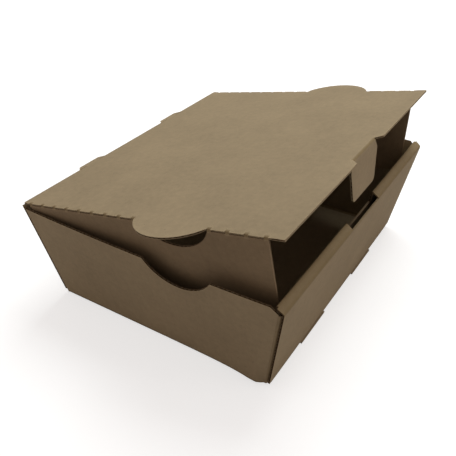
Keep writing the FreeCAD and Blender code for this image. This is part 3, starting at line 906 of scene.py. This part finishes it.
@dataclass
class SideWall(Board):
    """A side wall with its thumb cut-out and the tabs tucked in at its two ends."""

    side: int = -1
    bend: float = 3.0            # radius of the middle surface in the floor's crease
    fold: float = 1.3            # and in the corners
    crush_and_shade: float = 0.4            # how much the corners are pressed thinner, and how much painted shade they get
    thumb: Bite = Bite(29.5, 28.0, 15.3)   # cut-out, from the box's middle
    thumb_bend: float = 45.0     # length over which the rows bend to its middle
    bevel_start: float = 7.07    # bevel under the slanted strip, in from the opening wall's inside
    bevel_slope: float = 0.743
    bevel_knot: float = 1.01     # last point of the level rim before it
    tab_end: float = 33.0
    tab_taper: float = 14.0
    tab_foot: float = 1.7        # bottom of the corners and tabs
    tab_drop: float = 3.0        # top of the tabs below the rim
    rows: int = 13               # of points up the corners and tabs
    bow: float = 2.2             # of the rim, outwards
    belly: float = 3.0           # of the floor's crease, outwards, near the opening wall
    belly_place: Pair = (4.0, 9.0)   # where it is full, from there
    belly_fade: float = 17.0     # length over which it fades
    blank_start: ClassVar[float] = 400.0   # of the wall's middle in the flat blank

    def crease_y(self) -> float:
        """Where the floor ends: the crease's radius times half its turn's tangent from the corner."""
        reach = (self.plan.board / 2 - self.bend) * math.tan((math.pi / 2 - self.plan.flare) / 2)
        return self.plan.half_y(self.plan.board, self.plan.skin) + reach

    def corner_x(self, height: Values) -> Values:
        """Middle surface of the tucked-in tabs at a height."""
        return self.plan.half_x(height, self.plan.layer + self.plan.skin / 2)

    def corner_y(self, height: Values) -> Values:
        """Middle surface of the wall at a height."""
        return self.plan.half_y(height, self.plan.skin / 2)

    def bevel(self) -> float:
        """Where the rim's bevel starts."""
        return self.plan.rim_x - self.plan.board - self.bevel_start

    def rim(self, x: Values) -> Values:
        """Height of the rim: level, but bevelled under the slanted strip."""
        falling = self.plan.rim_z - self.plan.board / 2 - (x - self.bevel()) * self.bevel_slope
        return np.minimum(self.plan.rim_z, falling)

    def sheets(self) -> list[Sheet]:
        """The wall and the two corners with their tabs."""
        return [self.wall(), self.corner(1), self.corner(-1)]

    def section(self) -> tuple[Array, int]:
        """The wall's section: a round crease, then a run that leans out up to the rim.

        Returns:
            Its points, and the number of the crease's last one.
        """
        plan = self.plan
        foot, top = (plan.half_y(height, plan.skin) for height in (plan.board, plan.rim_z))
        start = foot - 2 * self.bend                             # of the floor's run, which is left out
        corners = np.array([[start, plan.board], [foot, plan.board], [top, plan.rim_z]])
        points, fold = rounded(beside(corners, plan.board / 2), self.bend, self.spacing)
        first, last = np.flatnonzero(fold)[[0, -1]]
        rise = points[-1] - points[last]
        points[-1] += rise * (plan.rim_z - points[-1, 1]) / rise[1]
        return points[first:], last - first

    def wall(self) -> Sheet:
        """The wall, from the floor's crease to the rim with its thumb cut-out.

        It bows outwards by a parabola along its length times the height's power of one and a
        half.  The floor's crease swells from the opening wall's corner and fades exponentially.

        Returns:
            The sheet, upwards and then along the box.
        """
        plan, thumb = self.plan, self.thumb
        section, end = self.section()
        reach = self.corner_x(plan.rim_z) - self.fold
        notch, last = thumb.knots(), self.bevel() - self.bevel_knot
        tops = np.concatenate([graded(notch[0] + reach, self.spacing)[:-1] - reach, notch[:-1],
                               notch[-1] + graded(last - notch[-1], self.spacing)[:-1],
                               [last, (last + reach) / 2, reach]])
        rim_z = self.rim(tops) - thumb.at(tops) * plan.cos

        bend_z, base = section[:end, 1:], section[end, 1]
        share = (section[end:, 1:] - base) / (plan.rim_z - base)
        z = np.concatenate([np.repeat(bend_z, len(tops), 1), base + share * (rim_z - base)])
        y = np.concatenate([np.repeat(section[:end, :1], len(tops), 1), self.corner_y(z[end:])])
        lift = np.clip((z - base) / (plan.rim_z - base), 0, 1)
        x = tops * (self.corner_x(z) - self.fold) / reach
        near = np.clip(1 - np.abs(tops - thumb.place) / self.thumb_bend, 0, 1)
        x = x + near * (tops - x) * lift
        y = y + self.bow * (1 - (x / self.corner_x(z)) ** 2) * lift ** 1.5
        turn = np.append(np.linspace(0, 1, end), (1 - share) ** 3)[:, None]
        back = self.corner_x(z) - self.fold - x
        rise, fade = self.belly_place
        swell = np.minimum(back / rise, 1) * np.exp(-np.maximum(back - fade, 0) / self.belly_fade)
        y = y + self.belly * turn * swell
        return Sheet(spread(x, self.side * y, z), spread(x + self.blank_start, z / plan.cos),
                     fold=(np.arange(len(z)) <= end)[:, None], joined=(0, 2, 3))

    def corner(self, end: int) -> Sheet:
        """A corner of the wall and its tab, tucked in behind the hinge or opening wall.

        Args:
            end: 1 at the opening wall, -1 at the hinge wall.

        Returns:
            The sheet, round the corner and then upwards.
        """
        plan = self.plan
        path = [[-self.fold, 0], [0, 0], [0, -self.fold]]
        path, mark = rounded(path, self.fold * 0.999, self.spacing)      # so that no run is empty
        path = path[mark > 0]
        bend, run = len(path), graded(1.0, 0.1, 0.02)[1:]
        tab = np.append(np.zeros(bend), run)[:, None]       # 0 round the corner, 1 at the tab's end
        offset = np.concatenate([path, np.repeat(path[-1:] * [1, 0], len(run), 0)])
        low = self.tab_foot + tab * self.tab_taper
        peak = self.rim(self.corner_x(plan.rim_z)) if end > 0 else plan.rim_z
        high = np.where(tab > 0, min(peak, plan.rim_z - self.tab_drop) - tab * self.tab_taper, peak)
        z = low + (high - low) * np.linspace(0, 1, self.rows)
        corner_y, x = self.corner_y(z), self.corner_x(z)
        y = np.where(tab == 0, corner_y + offset[:, 1:],
                     self.tab_end + (1 - tab) * (corner_y - self.fold - self.tab_end))
        across = self.blank_start + end * (x + np.maximum(corner_y - y, 0))
        return Sheet(spread(end * (x + offset[:, :1]), self.side * y, z), spread(across, z / plan.cos),
                     # the corners' fold mark thins them and paints shade on them
                     fold=self.crush_and_shade * (tab == 0), joined=(3,))


@dataclass
class Lid(Board):
    """The lid's board with its thumb lobes and its lugs past the hinge."""

    lug_half: float = 14.5
    lug_line: float = 7.0        # cross lines beside the lug's middle
    lug_reach: float = 4.0       # past the hinge's axis
    lug_edge: float = 1.3        # cross line in from its end
    first: Pair = (2.6, 6.0)     # cross lines after the hinge's
    lock_relief: float = 24.4    # half of the lock tab's notch at the free edge
    sag: float = 0.25            # of the panel, downwards
    pinch: float = 0.15          # of its edges, which the die pressed
    edge: float = 1.4            # first cross line beside an edge
    lines: tuple[float, ...] = (10.0, 32.0, 74.0, 82.0, 91.0, 100.0, 109.0, 116.0)   # that only divide
    even: Pair = (10.0, 200.0)   # stretch with even lines the other way,
    apart: float = 1.2           # at least this far from others
    spacing: float = 7.0
    blank_start: ClassVar[float] = -250.0   # of the hinge in the flat blank

    def notch(self, along: Array) -> Array:
        """Half of the lock tab's notch, which widens from the tab's crease to the free edge."""
        ends = [self.plan.lock_u, self.plan.lid_reach]
        return np.interp(along, ends, [self.plan.lock_half, self.lock_relief])

    def sheets(self) -> list[Sheet]:
        """The lid's panel, which sags by the product of two parabolas.

        Returns:
            One sheet, away from the hinge and along it, to the lobes' circles.
        """
        plan = self.plan
        lock = plan.lock_u - plan.lock_clear
        fixed = np.concatenate([
            [-self.lug_reach, self.lug_edge - self.lug_reach, 0, plan.hinge_clear, *self.first,
             lock - self.edge, lock, plan.lock_u, plan.lock_u + self.edge,
             plan.lid_reach - self.edge, plan.lid_reach],
            plan.perforation.bridges().ravel(), plan.lobe.knots()])
        even = np.arange(*self.even, self.spacing)
        even = even[np.min(np.abs(even[:, None] - fixed), axis=1) > self.apart]
        along = np.unique(np.round(np.append(fixed, even), 4))

        seam, outer = plan.fold_y - plan.fold_clear, plan.lid_half + plan.lobe.at(along)
        lug = self.lug_half + np.minimum(along, 0)
        inmost, inner, *lines = self.lines
        across = both_sides(0, inmost, self.notch(along), inner, plan.lug_place - lug,
                            plan.lug_place - self.lug_line, plan.lug_place + self.lug_line,
                            plan.lug_place + lug, *lines, seam, (seam + outer) / 2, outer)
        along = along[:, None]
        inside = np.clip(1 - (2 * along / plan.lid_reach - 1) ** 2, 0, 1)
        sag = self.sag * inside * np.clip(1 - (across / plan.fold_y) ** 2, 0, 1)

        centre, row = np.abs(centres(across)), centres(along)
        lugs = np.abs(centre - plan.lug_place) < self.lug_half - self.lug_reach
        behind = (row < plan.hinge_clear) & ~lugs
        beyond = (centre > seam) & plan.perforation.held(row)
        window = (centre < self.notch(row)) & (row > lock)
        closed = (plan.perforation.cut(along) & (np.abs(across) > seam + 0.1)) | (along < 1)
        return [Sheet(plan.on_lid(along, across, -sag), spread(along + self.blank_start, across),
                      ~(behind | beyond | window), closed=closed, pinch=self.pinch, shaded_edges=False)]


@dataclass
class SideFlap(Board):
    """A side flap of the lid, with the half-round hole that its lobe was cut from."""

    # its paper is darkened and warmed to paint the flap's shade
    paper: ClassVar[Finish] = Finish.SHADED_FLAP
    side: int = -1
    top: float = 0.25            # its upper edge at the cuts, below the fold
    depth: float = 64.0
    hinge_lean: float = 12.5     # degrees
    free_lean: float = 9.5
    round_off: float = 8.0
    steps: int = 8               # on its round corners
    knots: int = 37              # points on the hole's arc
    step: float = 5.0            # between others on its upper edge,
    apart: float = 0.3           # this far from the arc
    rim_row: float = 0.011       # first row down, as a share of its depth
    rows: tuple[float, float, int] = (0.03, 0.975, 12)   # start, end and number of the others
    hole: Bite = Bite(130.5, 30.4, 16.55)
    spring: float = 4.0          # degrees that it leans in more than its fold is turned
    blank_start: ClassVar[Pair] = (-250.0, 130.0)   # of its fold in the flat blank

    def place(self, along: Array, down: Array) -> Array:
        """Points of the flap's middle surface.

        Args:
            along: places along the fold.
            down: distances down the flap.

        Returns:
            Points in the box's frame.
        """
        plan = self.plan
        half, spring = plan.board / 2, math.tan(math.radians(self.spring))
        spring = spring * np.maximum(down - plan.flap_held, 0)
        out = plan.fold_y + half * plan.cos - down * plan.sin - spring * plan.cos
        up = -half - half * plan.sin - down * plan.cos + spring * plan.sin
        return plan.on_lid(along, self.side * out, up)

    def outline(self) -> tuple[Array, Array]:
        """Upper and lower edge of the flap.

        Returns:
            Their points, along the fold and down the flap.
        """
        cuts, arc = self.plan.perforation, self.hole.knots(self.knots)
        start, end = cuts.starts[0], cuts.ends[-1]
        knots = np.unique(np.concatenate([cuts.bridges().ravel(), np.arange(start, end, self.step), [end]]))
        knots = knots[(knots < arc[0] - self.apart) | (knots > arc[-1] + self.apart)]
        knots = np.sort(np.append(knots, arc))
        left = start + self.depth * math.tan(math.radians(self.hinge_lean))
        right = end - self.depth * math.tan(math.radians(self.free_lean))
        lower, marks = rounded([[start, 0], [left, self.depth], [right, self.depth], [end, 0]],
                               self.round_off, self.spacing, self.steps)
        turns = np.flatnonzero(marks)
        return spread(knots, self.top + self.hole.at(knots)), lower[turns[0]:turns[-1] + 1]

    def sheets(self) -> list[Sheet]:
        """The flap between its two edges, which straight lines join.

        Returns:
            One sheet, along the fold and down.
        """
        rows = np.concatenate([[0, self.rim_row], np.linspace(*self.rows), [1]])
        grid = ruled(*self.outline(), rows)
        fold, first = grid[:, :1, 0], np.arange(len(rows)) == 0
        kept = ~(self.plan.perforation.held(centres(fold)) & first[:-1])
        closed = self.plan.perforation.cut(fold) & first
        return [Sheet(self.place(grid[..., 0], grid[..., 1]), grid + self.blank_start, kept,
                      closed=closed, shaded_edges=False)]


@dataclass
class LockTab(Board):
    """The tab at the lid's free edge."""

    shoulder: float = 7.0        # start of its full width below the crease
    half: float = 23.5
    tip: float = 31.0
    tip_half: float = 19.0
    spacing: float = 3.0
    rim_row: float = 0.03        # first row in from its sides, as a share of its width
    rows: tuple[float, float, int] = (0.09, 0.91, 11)   # start, end and number of the others
    rounds: Pair = (1.5, 4.0)   # of its shoulders and its tip
    curl: float = 0.15           # of the tip, inwards
    blank_start: ClassVar[Pair] = (210.0, 0.0)   # of its crease in the flat blank

    def place(self, down: Array, across: Array) -> Array:
        """Points of the tab's middle surface, in the box's frame: it curls by a parabola.

        Args:
            down: distances from the crease.
            across: places along it.

        Returns:
            The points.
        """
        cos, sin = heading(self.plan.lock_lean)
        curl = self.curl * np.clip(down / self.tip, 0, 1) ** 2
        return self.plan.on_lid(self.plan.lock_u - down * sin - curl * cos, across, -down * cos)

    def sheets(self) -> list[Sheet]:
        """The tab between its two side edges, which straight lines join.

        Returns:
            One sheet, down and across.
        """
        corners = [[self.plan.lock_start, self.plan.lock_half], [self.shoulder, self.half],
                   [self.tip, self.tip_half], [self.tip, 0]]
        edge, _ = rounded(corners, self.rounds, self.spacing, 6)
        edge = edge[:int(np.argmax(edge[:, 0] > self.tip - 1e-6)) + 1]
        rows = np.concatenate([[0, self.rim_row], np.linspace(*self.rows), [1 - self.rim_row, 1]])
        grid = ruled(edge, edge * [1, -1], rows)
        return [Sheet(self.place(grid[..., 0], grid[..., 1]), grid + self.blank_start, joined=(3,),
                      shaded_edges=False)]


@dataclass
class Crease:
    """Pressed board of a crease between two bodies, built at rest."""

    plan: Plan
    bodies: tuple[str, str]
    spans: Array | tuple[Pair, ...]     # from where to where there is board
    radius: float = 0.8
    crush: float = 0.34
    step: float = 5.0            # along the crease,
    margin: float = 0.6          # and beside its ends

    def path(self) -> Array:
        """Three corners of the crease's section: on the first body, on the crease and on the second."""
        raise NotImplementedError

    def lay(self, section: Array, across: Array) -> Array:
        """Points of the section carried along the crease."""
        raise NotImplementedError

    def build(self, name: str) -> Object:
        """Make the crease's strips, pressed most in the middle, by a sine.

        Args:
            name: of the piece.

        Returns:
            The piece.
        """
        section, _ = rounded(self.path(), self.radius, 0.5, 8)
        place, whole = lengths_along(section)[:, None], Solid()
        for low, high in self.spans:
            across = low + graded(high - low, self.step, self.margin)
            Sheet(self.lay(section, across), spread(place, across), fold=np.sin(np.pi * place / place[-1]),
                  crush=self.crush, pinch=0, joined=(1, 3), pressed=True).fill(whole)
        return whole.object(name)

    def dress(self, piece: Object) -> None:
        """Bake the piece's transform into its mesh, where it stays at rest.

        Args:
            piece: the crease.
        """
        start, end = self.lay(self.path()[[0, -1]], np.zeros(1))[:, 0] * MM
        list(self.bodies)
        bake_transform(piece)
        LOG.info("%-18s bends between %s and %s", piece.name, *self.bodies)


@dataclass
class HingeCrease(Crease):
    """The lid's crease on the hinge wall, between and beside the lugs."""

    def path(self) -> Array:
        """From the wall's top to the lid, in the box's upright plane."""
        plan, axis = self.plan, np.array([self.plan.hinge_x, self.plan.hinge_z])
        return np.array([plan.wall_top(), axis, axis + plan.hinge_clear * heading(plan.lid_angle)])

    def lay(self, section: Array, across: Array) -> Array:
        """Carry the section along the hinge."""
        return spread(section[:, :1], across, section[:, 1:])


@dataclass
class FlapCrease(Crease):
    """A side flap's crease: the bridges between its cuts."""

    crush: float = 0.5
    side: int = -1

    def path(self) -> Array:
        """From the lid to the flap, round the outer corner of the fold.

        Returns:
            Distances out and heights in the lid's frame.
        """
        plan, half = self.plan, self.plan.board / 2
        out, drop = plan.fold_y + half * plan.cos, half + half * plan.sin
        return np.array([[plan.fold_y - plan.fold_clear, 0], [out + drop / plan.cos * plan.sin, 0],
                         [out - plan.flap_held * plan.sin, -drop - plan.flap_held * plan.cos]])

    def lay(self, section: Array, across: Array) -> Array:
        """Carry the section along the fold, away from the hinge."""
        return self.plan.on_lid(across, self.side * section[:, :1], section[:, 1:])


@dataclass
class LockCrease(Crease):
    """The lock tab's crease in the lid's edge."""

    def path(self) -> Array:
        """From the lid to the tab, in the lid's frame."""
        lock, (down, inward) = self.plan.lock_u, self.plan.lock_start * heading(self.plan.lock_lean)
        return np.array([[lock - self.plan.lock_clear, 0], [lock, 0], [lock - inward, -down]])

    def lay(self, section: Array, across: Array) -> Array:
        """Carry the section along the lid's edge."""
        return self.plan.on_lid(section[:, :1], across, section[:, 1:])


# -------------------- the studio
@dataclass(frozen=True)
class View:
    """Where the camera stands, in millimetres and degrees."""

    azimuth: float = 32.867
    elevation: float = 32.488
    roll: float = -0.431
    target: Triple = (-25.61, 3.599, 31.347)
    distance: float = 513.522
    sensor: float = 36.0
    focus: float = 614.02 / 456          # focal length over the frame's width
    shift: Pair = (13.58 / 456, -13.77 / 456)

    def build(self) -> None:
        """Make the camera the scene's own."""
        around, up, roll = (math.radians(angle) for angle in (self.azimuth, self.elevation, self.roll))
        turn = (Matrix.Rotation(around, 4, "Z") @ Matrix.Rotation(math.pi / 2 - up, 4, "X")
                @ Matrix.Rotation(roll, 4, "Z"))
        data = bpy.data.cameras.new("view")
        data.sensor_width = self.sensor
        data.lens = self.sensor * self.focus
        data.shift_x, data.shift_y = self.shift
        data.clip_start = 0.01
        camera = show("view", data)
        camera.matrix_world = turn
        camera.location = (Vector(self.target) + turn.col[2].xyz * self.distance) * MM
        bpy.context.scene.camera = camera


@dataclass(frozen=True)
class Lamp:
    """A soft square lamp that looks at the box."""

    name: str
    power: float
    place: Triple
    size: float
    colour: Triple
    aim: Triple = (0.0, 0.0, 0.05)

    def build(self) -> None:
        """Hang the lamp."""
        data = bpy.data.lights.new(self.name, "AREA")
        data.energy, data.size, data.color = self.power, self.size, self.colour
        lamp = show(self.name, data)
        lamp.location = self.place
        lamp.rotation_euler = (Vector(self.aim) - lamp.location).to_track_quat("-Z", "Y").to_euler()
        lamp.visible_camera = False


@dataclass(frozen=True)
class Studio:
    """White floor, pale surroundings and soft lamps."""

    lamps: tuple[Lamp, ...] = (
        Lamp("key", 10.9, (-0.10, 0.50, 1.15), 0.75, (0.94, 1.0, 1.0)),
        Lamp("side", 2.2, (1.15, 0.35, 0.42), 0.6, (1.0, 0.93, 0.88)),
        Lamp("left", 0.6, (-0.70, -0.50, 0.15), 0.5, (1.0, 0.84, 0.76)),
    )
    fill: float = 0.40
    fill_colour: Triple = (1.0, 0.86, 0.80)
    floor: float = 0.50
    glow: float = 0.66           # of the floor, as the camera sees it
    bounce: float = 0.07         # and as the box does
    white: Pair = (0.25, 1.0)    # distances where it starts to whiten and is white, in metres
    half: float = 3.0            # of its side
    drop: float = 0.0002         # below the box

    def build(self) -> None:
        """Set up lamps, surroundings and floor."""
        bpy.context.scene.view_settings.view_transform = "Standard"
        for lamp in self.lamps:
            lamp.build()
        self.surround()
        self.ground()

    def surround(self) -> None:
        """Surroundings that are white to the camera and a weak warm light to the box."""
        graph = Graph(bpy.data.worlds.new("surroundings"))
        seen = graph.wire("ShaderNodeLightPath", name="Is Camera Ray")
        bpy.context.scene.world = graph.finish(graph.wire("ShaderNodeBackground", {}, {
            "Color": graph.mix(seen, (*self.fill_colour, 1), (1, 1, 1, 1)),
            "Strength": seen * (1 - self.fill) + self.fill}), "World")

    def ground(self) -> None:
        """The floor, which glows white far away and less near the box."""
        mesh = bpy.data.meshes.new("ground")
        corners = ((-1, -1), (1, -1), (1, 1), (-1, 1))
        mesh.from_pydata([(x * self.half, y * self.half, -self.drop) for x, y in corners], [],
                         [(0, 1, 2, 3)])
        graph = Graph(bpy.data.materials.new("ground"))
        seen = graph.wire("ShaderNodeLightPath", name="Is Camera Ray")
        place = graph.wire("ShaderNodeTexCoord", name="Object")
        far = graph.wire("ShaderNodeVectorMath", {"operation": "LENGTH"}, {0: place}, "Value")
        glow = graph.mix(far.smooth(*self.white), (*[self.glow] * 3, 1), (1, 1, 1, 1))
        bounce = (*np.multiply(self.fill_colour, self.bounce), 1)
        mesh.materials.append(graph.finish(graph.wire("ShaderNodeBsdfPrincipled", {}, {
            "Base Color": (*[self.floor] * 3, 1), "Roughness": 0.9,
            "Emission Color": graph.mix(seen, bounce, glow), "Emission Strength": 1.0,
            "Specular IOR Level": 0.1})))
        show("ground", mesh)


def carry_over(*names: str) -> None:
    """Give CAD nodes that stay the paper's material.

    Args:
        names: of the nodes.
    """
    for name in names:
        for slot in frame["nodes"][name].material_slots:
            slot.material = Finish.LINER.material()
        LOG.info("%-18s carried over", name)


def main() -> None:
    """Build the box piece by piece and log each."""
    logging.basicConfig(level=logging.INFO, format="%(message)s")
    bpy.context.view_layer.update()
    plan = Plan()

    run = TrayRun(plan)
    run.dress(run.build("tray_run"), "tray", "floor", "hinge_wall", "opening_wall", "inner_panel",
              "near_top_strip", "far_top_strip")
    lid = Lid(plan)
    lid.dress(lid.build("lid_board"), "lid", "lid")
    for word, side, bow, belly, spring in (("near", -1, 2.2, 3.0, 4.0), ("far", 1, 1.2, 0.8, 2.5)):
        wall = SideWall(plan, side=side, bow=bow, belly=belly)
        wall.dress(wall.build(f"{word}_wall"), "tray", f"{word}_side_wall", f"{word}_rear_tab",
                   f"{word}_front_tab")
        flap = SideFlap(plan, side=side, spring=spring)
        flap.dress(flap.build(f"{word}_flap"), f"{word}_side_flap", f"{word}_side_flap")
        crease = FlapCrease(plan, ("lid", f"{word}_side_flap"), plan.perforation.bridges(), side=side)
        crease.dress(crease.build(f"{word}_flap_crease"))
    tab = LockTab(plan)
    tab.dress(tab.build("lock_board"), "lock_tab", "lock_tab")
    hinge = HingeCrease(plan, ("tray", "lid"), ((-121.9, -66.5), (-37.5, 37.5), (66.5, 121.9)))
    hinge.dress(hinge.build("hinge_crease"))
    lock = LockCrease(plan, ("lid", "lock_tab"), ((-plan.lock_half, plan.lock_half),))
    lock.dress(lock.build("lock_crease"))
    carry_over("near_tongue", "far_tongue")

    View().build()
    Studio().build()


if __name__ == "__main__":
    main()
